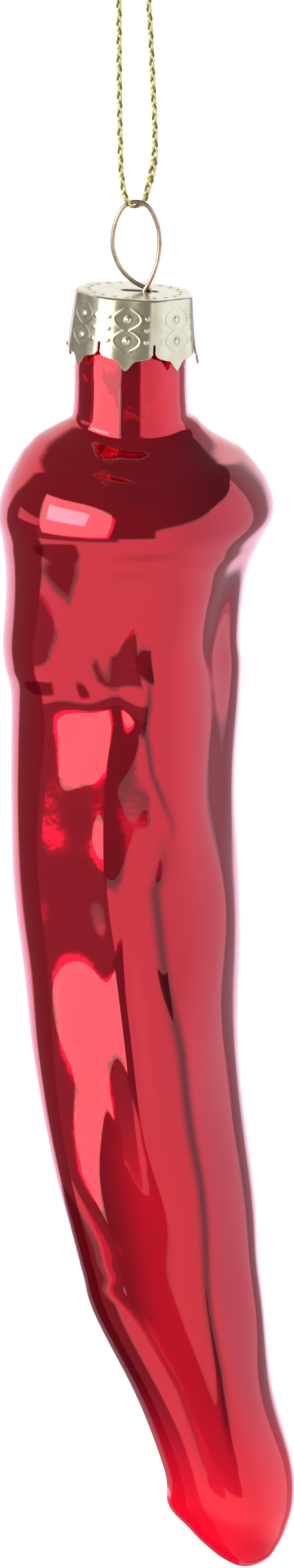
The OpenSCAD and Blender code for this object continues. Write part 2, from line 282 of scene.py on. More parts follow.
# Cord: three foil strands, one of them dark, plaited round the route of the loop
cordValues = {
    "diameter": 0.65, "repeat": 2.1, "sideSway": 0.19, "depthSway": 0.08, "strand": 0.145, "strandSides": 8,
    "squeeze": 0.3, "squeezeHalf": 1.3, "ribbon": 0.5, "ribbonAt": 5, "ribbonHalf": 2.2, "points": 900,
    # the pale colour is that of the painted glints
    "finePoints": 3000, "foil": (0.85, 0.74, 0.30), "paintedGlintColour": (1.0, 0.97, 0.76), "dark": (0.20, 0.155, 0.085)}
cordRoute = [
    [-0.35, -0.05, 0.3], [-0.6, -0.15, -2], [-0.95, -0.3, -5], [-1.22, -0.45, -9], [-1.33, -0.6, -14],
    [-1.34, -0.75, -19.5], [-1.3, -0.88, -24.5], [-1.26, -1, -28.5], [-1.22, -1.12, -31.7],
    [-1.15, -1.2, -34], [-1.02, -1.25, -35.75], [-0.84, -1.24, -37], [-0.61, -1.15, -38],
    [-0.36, -1.02, -38.65], [-0.07, -0.83, -39.1], [0.28, -0.48, -39.41], [0.66, 0, -39.53],
    [1.04, 0.48, -39.41], [1.36, 0.83, -39.1], [1.59, 1.02, -38.65], [1.78, 1.15, -38],
    [2.03, 1.24, -37], [2.37, 1.25, -35.75], [2.68, 1.2, -34], [2.78, 1.12, -31.7],
    [2.7, 1, -28.5], [2.5, 0.88, -24.5], [2.28, 0.75, -19.5], [1.92, 0.6, -14], [1.45, 0.45, -9],
    [1.02, 0.3, -5], [0.62, 0.15, -2], [0.35, 0.05, 0.3]]


# A plait: strand k sways by sin(turn) across and sin(2 turn) in depth, the three a third of a turn apart;
# also the share of dark foil at each point
def plait(path, hint, values, start=0.0, wide=1.0):
    level, up = squareTo(path, hint)
    turn = 2 * np.pi * (runLength(path) / values["repeat"] + start)
    wide = np.broadcast_to(np.asarray(wide, float), (len(path),))
    parts = []
    for k in range(3):
        phase = turn + 2 * np.pi * k / 3
        strand = (path + values["sideSway"] * (wide * np.sin(phase))[:, None] * level
                  + values["depthSway"] * np.sin(2 * phase)[:, None] * up)
        parts.append(tube(strand, values["strand"] * wide ** 0.5, values["strandSides"], hint))
    return together(parts), np.repeat([1.0, 0.0, 0.0], len(parts[0][0]))


# Foil with painted glints, pale spots in its colour, and one dark strand
def cordFinish(values):
    finish, bench = newFinish("goldCord")
    glint = bench.noise(bench.place(), 1700.0)
    # painted highlight: pale glint spots in the foil's colour
    bright = bench.blend(glint.rise(0.5, 0.72), values["foil"], values["paintedGlintColour"])
    colour = bench.blend(bench.painted("dark") * glint.rise(0.75, 0.6), bright, values["dark"])
    bench.end(bench.surface(Base_Color=colour, Metallic=0.4, Roughness=0.25 + glint * 0.2,
                            Normal=bench.bump(glint * 0.00003)))
    return finish


cordLine = splineThrough(cordRoute, np.linspace(0, len(cordRoute) - 1, cordValues["finePoints"]))
cordLength = runLength(cordLine)[-1]
cordPath = evenly(cordLine, cordValues["points"])
# the bight is squeezed up against the wire, and the right strand turns its flat side near it
fromBight = np.linspace(-0.5, 0.5, cordValues["points"]) * cordLength
bight = np.exp(-(fromBight / cordValues["squeezeHalf"]) ** 2)
squeezed = cordPath + np.outer(bight, [0, 0, cordValues["squeeze"]])
flatSide = np.exp(-((fromBight - cordValues["ribbonAt"]) / cordValues["ribbonHalf"]) ** 2)
ribbon = 1 + cordValues["ribbon"] * flatSide
goldCord = cordFinish(cordValues)
cordParts, darkFoil = plait(squeezed, (1, 0, 0), cordValues, wide=ribbon)
cordPiece = addPiece("goldCordLoop", *cordParts, finishes=[goldCord])
paint(cordPiece, "dark", darkFoil)
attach(cordPiece, "cord")
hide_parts("cord_loop")
print("cord plaited,", round(cordLength, 1), "mm")


# Knot: the cord wrapped three times round its own two ends, which stand out above as cut tails
knotValues = {
    "wraps": 3, "wrapRadius": 0.5, "wrapRise": 0.3888, "wrapTurn": 0.6, "wrapFrom": 0.3, "lean": 22,
    "endApart": 0.3, "endFrom": 0.1, "endHeight": 4.45, "tailRun": 4.6, "tailFrom": 1.4, "droop": 0.12,
    "sway": 0.05, "wrapPoints": 160, "tailPoints": 60, "startTurn": 0.2}


# The wraps are a helix; each end stands straight up as far as tailFrom and then leans out,
# a little less towards its tip
def knotLines(values):
    t = np.linspace(0, 1, values["wrapPoints"])
    a = 2 * np.pi * values["wraps"] * t + values["wrapTurn"]
    lines = [np.stack([values["wrapRadius"] * np.cos(a), values["wrapRadius"] * np.sin(a),
                       values["wrapFrom"] + values["wraps"] * values["wrapRise"] * t], -1)]
    s = np.linspace(0, 1, values["tailPoints"])
    tail = np.maximum(0, s * values["tailRun"] - values["tailFrom"])
    out = math.tan(math.radians(values["lean"])) * tail * (1 - values["droop"] * s)
    for side in (-1, 1):
        lines.append(np.stack([side * (values["endApart"] + out), values["sway"] * side * np.sin(3 * s),
                               values["endFrom"] + values["endHeight"] * s], -1))
    return lines


knotHints = ((0, 0, 1), (0, 1, 0), (0, 1, 0))
knotParts = [plait(line, hint, cordValues, knotValues["startTurn"] * k)
             for k, (line, hint) in enumerate(zip(knotLines(knotValues), knotHints))]
knotPiece = addPiece("goldCordKnot", *together([parts for parts, _ in knotParts]), finishes=[goldCord])
paint(knotPiece, "dark", np.concatenate([dark for _, dark in knotParts]))
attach(knotPiece, "cord")
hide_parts("cord_knot")
print("knot tied")


# Pepper: sections down its length, skin lumps and folds, and the neck that the cap sits on
pepperValues = {
    "length": 134.5, "depth": 0.94, "wall": 1.1, "footZ": -61.993, "neckRadius": 6.5, "rimRadius": 5.6,
    "rimZ": -49.743, "neckWall": 0.9, "neckRows": 14, "rimRows": 8, "taper": 8, "liningRow": 20, "rows": 290,
    "innerRows": 36, "innerCrowd": 1.8, "columns": 252, "frontShare": 0.55, "frontTurn": 15,
    "footLift": 0.4, "footFlare": 0.1, "footFade": 0.8, "ovalFrom": 0.5, "ovalOver": 4, "plainReach": 6,
    "tipGap": 0.04, "slopeStep": 0.05, "finePoints": 2000, "sag": 2.6, "sagTurn": 0.2, "sagFrom": 4.6,
    "sagFade": 6.5, "foldEdge": 1.4, "foldFade": 32, "foldEnd": 3, "foldShift": 0.3,
    "waves": 0.05, "waveCount": 16, "waveLengths": (8, 24), "waveMiddle": 15, "waveRadius": 12}
# drop below the foot of the neck, sideways sway, half width, forward curl
sections = [
    [0, 0, 6.6, 0], [0.9, 0.1, 6.75, 0], [1.7, 0.4, 7.4, 0], [2.5, 0, 8.55, 0], [3.6, -0.4, 10.3, 0],
    [4.6, -0.1, 11.7, 0], [5.7, 0.25, 13, 0], [9, 0.6, 14.9, 0], [12.5, 0.6, 15.6, 0], [16, 0.1, 14.6, 0],
    [20, -0.6, 13.8, 0], [27, -1.2, 13.8, 0], [30.5, -0.95, 13.75, 0], [35, -0.5, 13.2, 0],
    [46, -0.8, 13.3, 0], [58, -0.4, 12.9, 0.05], [69.9, 0.2, 12.2, 0.7], [81.5, 1.35, 11.5, 2.1],
    [94, 3.9, 10.25, 4.4], [99.7, 4.85, 9.7, 5.6], [104.4, 5.7, 9.45, 6.6], [113.8, 8.3, 8.1, 8.8],
    [122.2, 10.95, 7.4, 10.9], [126.9, 11.95, 6.75, 12], [130, 12.6, 5.5, 12.6],
    [132, 13.1, 4.1, 13], [133.55, 13.45, 2.5, 13.3], [134.5, 13.5, 0, 13.5]]
# folds of the skin: height of the step, half width of its line of painted shade in degrees,
# and points of drop and degrees from the front
folds = [
    (0.25, 1.5, [[30, 13], [36, 9], [41, 13], [47, 24]]),
    (0.32, 3.0, [[51, 19], [55, 14], [66, 19], [74, 25], [89, 27], [97, 24], [110.5, 18], [119, 10]])]
# drop, degrees from the front, height, half length, half angle, half angle on the right where it differs
lumps = [
    [14, 52, 0.5, 6, 30], [14, -20, 1.1, 11, 45], [30, -3, -0.9, 7, 13, 9], [33, -26, -0.9, 6, 14],
    [48, -62, 0.2, 7, 20], [60, -30, 0.15, 9, 28], [22, 150, 0.5, 12, 26], [62, 205, -0.5, 16, 18],
    [86, 140, 0.4, 14, 24], [94, -43, 3.2, 24, 34], [127.2, -88, 0.8, 1.8, 28], [128.8, -40, -0.4, 3, 26],
    [4.5, -130, -0.9, 3, 34], [9, 95, 0.5, 7, 35], [5.5, -40, 0.4, 4, 22], [6, 52, 0.8, 4, 24],
    [6.8, -14, 0.55, 3, 16], [5.2, 2, -0.45, 1.8, 32], [25, 60, -1.1, 8, 20], [42, 60, -1.0, 10, 19],
    [105, -30, -0.5, 9, 34], [35, -38, 0.25, 4, 9], [55, -11, 0.5, 9, 8], [66, -3, 0.6, 9, 8],
    [78, -2, 0.6, 9, 8], [92, 10, 0.5, 22, 32], [90, -15, -0.35, 5, 11], [65, -10, 0.25, 7, 13]]
# painted reflection patch on the front, in plain red instead of mirror: share, drop, half length, degrees
# from the front, half angle
paintedReflectionPatch = (0.8, 101, 18, 3, 24)


# Degrees round from one angle to another, between -180 and 180
def turnFrom(start, angle):
    return (angle - start + 540) % 360 - 180


# How much of each fold stands at a drop, and degrees to the right of it
def foldPlaces(drop, angle):
    end = pepperValues["foldEnd"]
    for step, dark, line in folds:
        line = np.array(line, float)
        inside = np.minimum(drop - line[0, 0], line[-1, 0] - drop)
        away = turnFrom(np.interp(drop, line[:, 0], line[:, 1]), angle)
        yield step, dark, np.clip((inside + end) / (2 * end), 0, 1), away


# Height of the skin over the plain sections: steps at the folds that die away to the right,
# bell-shaped lumps, and the slow waves of blown glass as a sum of sines in many directions
def skinHeight(drop, angle):
    v = pepperValues
    height = np.zeros(np.broadcast(drop, angle).shape)
    for step, _, share, away in foldPlaces(drop, angle):
        climb = share / (1 + np.exp(-away / v["foldEdge"]))
        height += step * climb * np.exp(-np.maximum(away, 0) / v["foldFade"])
    for d, a, h, halfLength, halfAngle, *right in lumps:
        turn = turnFrom(a, angle)
        wide = np.where(turn > 0, right[0] if right else halfAngle, halfAngle)
        height += h * np.exp(-((drop - d) / halfLength) ** 2) * np.exp(-(turn / wide) ** 2)
    dice = np.random.default_rng(5)
    headings = dice.normal(size=(v["waveCount"], 3))
    lengths = dice.uniform(*v["waveLengths"], v["waveCount"])
    starts = dice.uniform(0, 6.28, v["waveCount"])
    for heading, long, start in zip(headings, lengths, starts):
        across, deep, down = heading / np.linalg.norm(heading) * 2 * np.pi / long
        around = across * np.sin(np.radians(angle)) - deep * np.cos(np.radians(angle))
        phase = v["waveRadius"] * around + down * drop + start
        height += v["waves"] * (long / v["waveMiddle"]) ** 2 * np.sin(phase)
    return height


# Share of painted shade along the fold line at each point of the skin: a narrow bell just right of the step's
# middle
def foldShade(drop, angle):
    return sum(share * np.exp(-((away - pepperValues["foldShift"]) / dark) ** 2)
               for _, dark, share, away in foldPlaces(drop, angle))


# Share of the painted reflection patch at each point of the skin, apart from the tip: a flat-topped bell
def paintedReflectionShare(drop, angle):
    share, middle, halfLength, front, halfAngle = paintedReflectionPatch
    turn = turnFrom(front, angle)
    return share * np.exp(-((drop - middle) / halfLength) ** 4) * np.exp(-(turn / halfAngle) ** 4)


# One wall of the pepper at stations u: each ring is an ellipse moved aside by the sway and out by the skin,
# and the front sags under the foot of the neck
def pepperWall(u, angle, sunk):
    v = pepperValues
    last = len(sections) - 1
    s = splineThrough(sections, u)
    step = splineThrough(sections, np.clip(u + v["slopeStep"], 0, last)) - splineThrough(
        sections, np.clip(u - v["slopeStep"], 0, last))
    tip = np.clip(u - (last - 1), 0, 1)                      # the last stretch is a round, not a cone
    tipRise = v["length"] - sections[-2][0]
    drop = np.where(tip > 0, v["length"] - tipRise * (1 - tip) ** 2, s[:, 0])[:, None]
    half = np.where(tip > 0, sections[-2][2] * (1 - tip), np.maximum(0, s[:, 2]))[:, None]
    sway, fore = s[:, 1][:, None], s[:, 3][:, None]
    across, up = step[:, 0], step[:, 2]
    size = np.maximum(1e-6, np.hypot(across, up))
    across, up = (across / size)[:, None], (up / size)[:, None]
    share = 1 + (v["depth"] - 1) * np.clip((half - v["neckRadius"] - v["ovalFrom"]) / v["ovalOver"], 0, 1)
    a = np.radians(angle)[None, :]
    # the skin is plain at the neck and the tip
    eased = np.minimum(1, half / v["plainReach"]) * np.minimum(1, drop / v["plainReach"])
    out = skinHeight(drop, angle[None, :]) * eased - sunk
    wide = np.maximum(0, half + out * across)
    deep = np.maximum(0, half * share + out * across)
    front = (0.5 + 0.5 * np.cos(a - v["sagTurn"])) ** 3
    sag = v["sag"] * front * np.exp(-(np.maximum(0, drop - v["sagFrom"]) / v["sagFade"]) ** 2)
    wallPoints = np.stack([sway + wide * np.sin(a), -fore - deep * np.cos(a),
                           v["footZ"] - drop + out * up - sag], -1)
    return wallPoints, foldShade(drop, angle[None, :]), paintedReflectionShare(drop, angle[None, :])


# Radius and height of the neck's rows: from the foot up the outside, over the round rim and down the inside
def neckProfile():
    v = pepperValues
    bead = v["neckWall"] / 2
    taper, lip = v["rimZ"] - v["taper"], v["rimZ"] - bead
    z = np.linspace(v["footZ"] + v["footLift"], lip, v["neckRows"])
    ease = np.clip((z - taper) / (lip - taper), 0, 1)
    flare = v["footFlare"] * np.exp(-(z - v["footZ"]) / v["footFade"])
    outer = v["neckRadius"] + flare - (v["neckRadius"] - v["rimRadius"]) * ease
    over = np.linspace(0, np.pi, v["rimRows"] + 2)[1:-1]
    rim = np.stack([v["rimRadius"] - bead + bead * np.cos(over), lip + bead * np.sin(over)], -1)
    inner = np.stack([outer[::-1] - v["neckWall"], z[::-1]], -1)
    return np.concatenate([np.stack([outer, z], -1), rim, inner])


# The whole glass as one closed grid: tip, outer wall, neck, rim, neck bore and inner wall to the inner tip
def pepperGrid():
    v = pepperValues
    turn = np.arange(v["columns"]) / v["columns"]
    crowded = turn - v["frontShare"] * np.sin(2 * np.pi * turn) / (2 * np.pi)    # columns crowd the front
    angle = 360 * crowded + v["frontTurn"]
    last = len(sections) - 1
    fine = np.linspace(0, last - v["tipGap"], v["finePoints"])
    profile = splineThrough(sections, fine)
    run = np.concatenate([[0], np.cumsum(np.hypot(*np.diff(profile[:, [0, 2]], axis=0).T))])
    outerU = np.interp(np.linspace(run[-1], 0, v["rows"]), run, fine)
    innerU = np.interp(np.linspace(0, 1, v["innerRows"]) ** v["innerCrowd"] * run[-1], run, fine)
    outer, shade, thinSilverAndPaintedPatch = pepperWall(outerU, angle, 0.0)
    inner = pepperWall(innerU, angle, v["wall"])[0]
    neck = neckProfile()
    a = np.radians(angle)[None, :]
    r, z = neck[:, :1], neck[:, 1:]
    neckRows = np.stack([r * np.sin(a), -r * np.cos(a), z + 0 * a], -1)
    grid = np.concatenate([outer, neckRows, inner])
    end = np.array([sections[-1][1], -sections[-1][3], v["footZ"] - v["length"]])
    tip = np.stack([end, end + [0, 0, v["wall"]]])
    quads, _ = gridQuads(len(grid), v["columns"])
    count = len(grid) * v["columns"]
    lined = np.repeat(np.arange(len(grid) - 1) >= len(outer) + v["liningRow"], v["columns"])
    shades = np.zeros((2, count + 2))
    shades[:, :shade.size] = shade.ravel(), thinSilverAndPaintedPatch.ravel()
    return (np.concatenate([grid.reshape(-1, 3), tip]), quads,
            poleTris(len(grid), v["columns"], count, count + 1), lined, shades)


# heights in millimetres: the silver thins from clearFrom down to clearTo, and is uneven above neckFrom
glassLook = {
    # the side colour is painted shade, darker red towards the right side
    "mirror": (0.80, 0.004, 0.034), "side": (0.50, 0.003, 0.03), "shadedSideX": (2, 11), "tip": (0.95, 0.003, 0.02),
    # the fold colour is painted shade along the folds, plain is the colour of the painted reflection patch,
    # glow a painted glow at the tip
    "plain": (0.72, 0.002, 0.025), "fold": (0.16, 0.0, 0.012), "glow": (0.24, 0.0, 0.012),
    "clearFrom": -172, "clearTo": -194, "neckFrom": (-65, -61), "gloss": 1.6,
    "silver": (0.80, 0.79, 0.78), "tarnish": (0.52, 0.47, 0.42)}


# Red lacquer over silver, under a clear gloss: the silver mirrors with its own waves,
# so reflections come in pairs
def glassFinish(look):
    finish, bench = newFinish("redGlass")
    place = bench.place()
    x, _, z = bench.xyz(place)
    clear = 1 - z.rise(look["clearTo"] * mm, look["clearFrom"] * mm)    # thin silver towards the tip
    cloud = bench.noise(place, 160.0)
    speck = bench.noise(place, 5200.0, 1.0).rise(0.74, 0.8)
    streak = bench.noise(bench.stretched(place, (1, 1, 0.4)), 330.0, 3.0, 0.6, 1.0)
    # painted reflection: a patch of plainer, less metallic red that stands in for the saturated red of the
    # doubled reflections on the front
    patch = bench.painted("thinSilverAndPaintedPatch")
    neck = z.rise(look["neckFrom"][0] * mm, look["neckFrom"][1] * mm)
    uneven = neck * streak.rise(0.56, 0.64) * 0.7
    # less silver: thin towards the tip, uneven on the neck, and the painted reflection patch
    thinSilverAndPaintedPatch = (clear + patch + (cloud - 0.5) * 0.25 * clear + uneven).most(0).least(1)
    # painted shade: the red is darker towards the right side
    toShadedSide = x.rise(look["shadedSideX"][0] * mm, look["shadedSideX"][1] * mm)
    colour = bench.blend(toShadedSide, look["mirror"], look["side"])
    # the plain red of the painted reflection patch
    colour = bench.blend(patch, bench.blend(thinSilverAndPaintedPatch, colour, look["tip"]), look["plain"])
    worn = neck * (1 - streak.rise(0.36, 0.44)) * 0.8
    # darker in specks and in worn streaks on the neck, with painted shade along the folds
    dark = (speck * 0.25 + bench.painted("fold") * 0.95 + worn).least(1)
    colour = bench.blend(dark, colour, look["fold"])
    warp = bench.noise(place, 55.0, 1.0, 0.4) * 0.0009 + bench.noise(place, 420.0) * 0.000012
    glow = bench.blend(clear, (0, 0, 0), look["glow"])                  # painted glow, standing in for daylight through the thin silver
    bench.end(bench.surface(Base_Color=colour, Metallic=0.9 - 0.62 * thinSilverAndPaintedPatch, Specular_IOR_Level=0.0,
                            Roughness=0.05 + 0.1 * thinSilverAndPaintedPatch + cloud * 0.03, Coat_Weight=1.0, Coat_Roughness=0.015,
                            Coat_IOR=look["gloss"], Normal=bench.bump(warp), Emission_Color=glow,
                            Emission_Strength=1.0))
    return finish


# Bare silver inside the glass, blotched with tarnish
def liningFinish(look):
    finish, bench = newFinish("silverLining")
    blot = bench.noise(bench.place(), 700.0, 4.0, 0.6)
    colour = bench.blend(blot.rise(0.35, 0.75), look["silver"], look["tarnish"])
    bench.end(bench.surface(Base_Color=colour, Metallic=1.0, Roughness=0.16 + blot * 0.2,
                            Normal=bench.bump(blot * 0.00004)))
    return finish


points, quads, tris, lined, shades = pepperGrid()
faceFinish = np.concatenate([lined, np.repeat([0, 1], pepperValues["columns"])])
pepperPiece = addPiece("redGlassPepper", points, quads, tris, faceFinish=faceFinish,
                       finishes=[glassFinish(glassLook), liningFinish(glassLook)])
# share of painted shade along the folds
paint(pepperPiece, "fold", shades[0])
# share of the painted reflection patch
paint(pepperPiece, "thinSilverAndPaintedPatch", shades[1])
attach(pepperPiece, "pepper")
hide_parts("glass_pepper")
print("pepper blown,", len(points), "points")


# Wire: an oval ring of arcs whose two strands cross, and the legs that spring apart in the neck
wireValues = {
    "thick": 0.5, "ringHalf": 2.7, "crownRadius": 2.0, "crownHalf": 60, "crownZ": -38.7, "ringX": 0.6,
    "ringHeight": 10, "crossX": 1.7, "rightLean": 22, "leftLean": 10, "legBend": 1.0, "legLength": 9.5,
    "crossGap": 0.31, "points": 420, "sides": 20, "arcPoints": 40, "crownPoints": 60,
    "endPoints": 3, "endRound": 0.75,
    "rose": (0.84, 0.66, 0.52), "brown": (0.42, 0.27, 0.18)}


# Points of an arc from one heading to another, as distance down and distance inwards
def arc(start, radius, first, last):
    h = np.radians(np.linspace(first, last, wireValues["arcPoints"]))
    r = radius * np.sign(last - first)
    return start + r * np.stack([np.sin(h) - np.sin(h[0]), np.cos(h[0]) - np.cos(h)], -1)


# One strand: out from the crown to the full width, in to the crossing, back to the lean of the leg,
# and a straight leg
def strandLine(inward, lean, v):
    half, turn = math.radians(v["crownHalf"]), 90 - v["crownHalf"]
    start = np.array([-v["crownRadius"] * math.cos(half), v["ringHalf"] - v["crownRadius"] * math.sin(half)])
    swingOut = arc(start, start[1] / (1 - math.cos(math.radians(turn))), -turn, 0)
    fall = v["ringHeight"] - v["crownRadius"] - swingOut[-1, 0]
    inRadius = (inward ** 2 + fall ** 2) / (2 * inward)
    sweep = math.degrees(math.asin(fall / inRadius))
    swingIn = arc(swingOut[-1], inRadius, 0, sweep)
    back = arc(swingIn[-1], v["legBend"], sweep, lean)
    leg = back[-1] + np.outer(np.linspace(0, v["legLength"], v["arcPoints"]),
                              [math.cos(math.radians(lean)), math.sin(math.radians(lean))])
    return np.concatenate([swingOut[1:-1], swingIn[:-1], back[:-1], leg])


# The whole wire: up the left strand, over the crown and down the right one, which pass at the crossing
def wireLine(v):
    sides = []
    for side, lean in ((1, v["rightLean"]), (-1, v["leftLean"])):
        p = strandLine(v["ringHalf"] + side * (v["ringX"] - v["crossX"]), lean, v)
        aside = -side * v["crossGap"] * np.clip(p[:, 0] / (v["ringHeight"] - v["crownRadius"]), 0, 1)
        sides.append(np.stack([side * (v["ringHalf"] - p[:, 1]), aside, -p[:, 0]], -1))
    a = np.radians(np.linspace(90 + v["crownHalf"], 90 - v["crownHalf"], v["crownPoints"]))
    crown = v["crownRadius"] * np.stack([np.cos(a), 0 * a, np.sin(a)], -1)
    line = np.concatenate([sides[1][::-1], crown, sides[0]])
    return line + np.array([v["ringX"], 0, v["crownZ"] - v["crownRadius"]])


# Rosy wash over brown wire, worn in streaks along it
def wireFinish(v):
    finish, bench = newFinish("springWire")
    uv = bench.node("ShaderNodeUVMap", {"uv_map": "UVMap"})
    drawn = bench.noise(bench.stretched(uv, (9.0, 0.5, 1.0)), 3.0, 3.0, 0.6)
    worn = bench.noise(bench.place(), 420.0, 3.0, 0.6)
    colour = bench.blend((drawn * 0.6 + worn * 0.4).rise(0.32, 0.62), v["brown"], v["rose"])
    bench.end(bench.surface(Base_Color=colour, Metallic=1.0, Roughness=0.2 + worn * 0.25,
                            Normal=bench.bump(drawn * 0.000012)))
    return finish


wirePath = evenly(wireLine(wireValues), wireValues["points"])
fromEnd = np.minimum(np.arange(len(wirePath)), np.arange(len(wirePath))[::-1])
ends = np.minimum(fromEnd / wireValues["endPoints"], 1)                 # ends cut and lightly rounded
wireRadius = wireValues["thick"] / 2 * np.sqrt(1 - (1 - ends) ** 2 * wireValues["endRound"])
wireParts = tube(wirePath, wireRadius, wireValues["sides"], (0, 1, 0))
wirePiece = addPiece("springWireHanger", *wireParts, finishes=[wireFinish(wireValues)])
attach(wirePiece, "hanger")
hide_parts("hanger_wire")
print("wire bent")


# Cap: one stamped sheet, from the slot over the rolled edge and down the tabs, with its relief
capValues = {
    "tabs": 7, "topRadius": 6.9, "skirtRadius": 7.7, "height": 8.2, "sheet": 0.25, "tilt": 3, "x": 0.5,
    "z": -49.0, "turn": -6, "flat": 0.36, "edge": 0.35, "slitHalf": 0.16, "slitRadius": 7.3, "slitTop": 5.084,
    "slotLength": 4.4, "slotWidth": 1.4, "slotX": 0.5, "perTab": 60, "topRows": 32, "edgeRows": 7,
    "skirtRows": 49, "tabRows": 26, "edgeDepth": 6.5,
    "flares": [0, 0.08, 0.5, 0, 0, 0.2, 0],                  # how far each tab stands out at its point
    "dots": 21, "dotRing": 5.3, "dotHalf": 0.24, "dotShare": 0.16, "dotHigh": 0.12, "topOver": 0.2,
    "topFade": 0.3,
    # the top colour is painted shade on the cap's top, and the groove colour painted shade in the grooves
    "gold": (0.95, 0.90, 0.74), "shade": (0.76, 0.70, 0.52), "top": (0.60, 0.58, 0.40),
    "paintedGrooveShade": (0.38, 0.33, 0.2)}
# lower edge of a tab: distance from its middle, then in from its corner, with the depth below the top
tabMiddle = [[0, 8.2], [0.12, 8.17], [0.3, 7.98], [0.55, 7.65], [0.8, 7.3], [1.1, 7.05]]
tabCorner = [[1.2, 6.82], [0.75, 6.7], [0.45, 6.58], [0.26, 6.4], [0.16, 6.2]]
reliefValues = {
    "from": 0.9, "to": 6.15, "fade": 0.35, "waist": 0.22, "belly": 1.38, "waveFrom": 1.05, "waveLength": 2.46,
    "ridgeHigh": 0.055, "ridgeHalf": 0.09, "grooveOut": 0.17, "beads": (2.3, 4.76), "beadRadius": 0.4,
    "beadHigh": 0.2, "beadRing": 1.15, "beadRingHalf": 0.22, "dots": (2.1, 3.45, 4.8), "dotX": 2.2,
    "dotHalf": 0.16, "dotHigh": 0.09, "full": 0.24}


# Relief of a tab at x across it and d below the top: two lozenges between wavy ridges, a bead in each and
# rows of dots; also the share of painted shade in the grooves beside them
def tabRelief(x, d):
    v = reliefValues
    wave = np.abs(np.sin(np.pi * (d - v["waveFrom"]) / v["waveLength"])) ** 0.8
    fromRidge = np.abs(x) - (v["waist"] + v["belly"] * wave)
    inside = np.clip((d - v["from"]) / v["fade"], 0, 1) * np.clip((v["to"] - d) / v["fade"], 0, 1)
    height = v["ridgeHigh"] * inside * np.exp(-(fromRidge / v["ridgeHalf"]) ** 2)
    paintedGrooveShade = inside * np.exp(-((fromRidge - v["grooveOut"]) / v["ridgeHalf"]) ** 2)
    for middle in v["beads"]:
        away = np.hypot(x, d - middle) / v["beadRadius"]
        height += v["beadHigh"] * np.clip(1 - away ** 2, 0, 1) ** 0.75
        paintedGrooveShade += np.exp(-((away - v["beadRing"]) / v["beadRingHalf"]) ** 2)
    for dot in v["dots"]:
        height += v["dotHigh"] * np.exp(-(np.hypot(np.abs(x) - v["dotX"], d - dot) / v["dotHalf"]) ** 2)
    return height, paintedGrooveShade


# Distance from the cap's middle to the edge of the slot, for each direction, by halving
def slotEdge(direction, v):
    low, high = np.zeros(len(direction)), np.full(len(direction), 4.0)
    reach = (v["slotLength"] - v["slotWidth"]) / 2
    for _ in range(40):
        middle = (low + high) / 2
        px, py = middle * direction[:, 0] - v["slotX"], middle * direction[:, 1]
        inside = np.hypot(px - np.clip(px, -reach, reach), py) < v["slotWidth"] / 2
        low, high = np.where(inside, middle, low), np.where(inside, high, middle)
    return high


# Columns of the sheet: each tab's number, degrees from its middle, and which columns lie in a slit
def tabColumns(v):
    step = 360 / v["tabs"]
    slitAngle = step / 2 - math.degrees(v["slitHalf"] / v["slitRadius"])
    one = np.concatenate([[-step / 2], np.linspace(-slitAngle, slitAngle, v["perTab"])])
    return (np.repeat(np.arange(v["tabs"]), len(one)), np.tile(one, v["tabs"]),
            np.tile(np.arange(len(one)) == 0, v["tabs"]))


# Radius of the sheet at a depth: a flaring round cup, drawn in to a softened flat in the middle of each tab
def cupRadius(depth, delta, v):
    flare = (v["skirtRadius"] - v["topRadius"]) / v["height"]
    drawn = 0.5 + 0.5 * np.cos(2 * np.pi * delta / (360 / v["tabs"]))
    return v["topRadius"] + flare * depth - v["flat"] * drawn


# Depth of each column's lower edge, through the points of a tab's middle and corners
def lowerEdge(delta, v):
    half = v["skirtRadius"] * math.sin(math.pi / v["tabs"])
    flatRadius = cupRadius(v["edgeDepth"], 0, v)
    x = np.abs(flatRadius * np.tan(np.radians(delta)))
    return np.interp(x, [p[0] for p in tabMiddle] + [half - p[0] for p in tabCorner],
                     [p[1] for p in tabMiddle + tabCorner])


# Radius and depth of the sheet's rows: over the top from the slot, round the edge, and down the tabs
def capProfile(direction, delta, v):
    slot = slotEdge(direction, v)[None]
    rim = (cupRadius(v["edge"], delta, v) - v["edge"])[None]
    t = np.linspace(0, 1, v["topRows"] + 1)[:-1, None]
    bend = np.linspace(0, np.pi / 2, v["edgeRows"] + 1)[:-1, None]
    upper = np.linspace(v["edge"], v["slitTop"], v["skirtRows"] + 1)[:-1, None] + 0 * rim
    below = (lowerEdge(delta, v) - v["slitTop"])[None] * np.linspace(0, 1, v["tabRows"])[:, None]
    skirt = np.concatenate([upper, v["slitTop"] + below])
    radius = np.concatenate([slot + (rim - slot) * t, rim + v["edge"] * np.sin(bend),
                             cupRadius(skirt, delta, v)])
    depth = np.concatenate([0 * t + 0 * slot, v["edge"] * (1 - np.cos(bend)) + 0 * rim, skirt])
    return radius, depth, rim


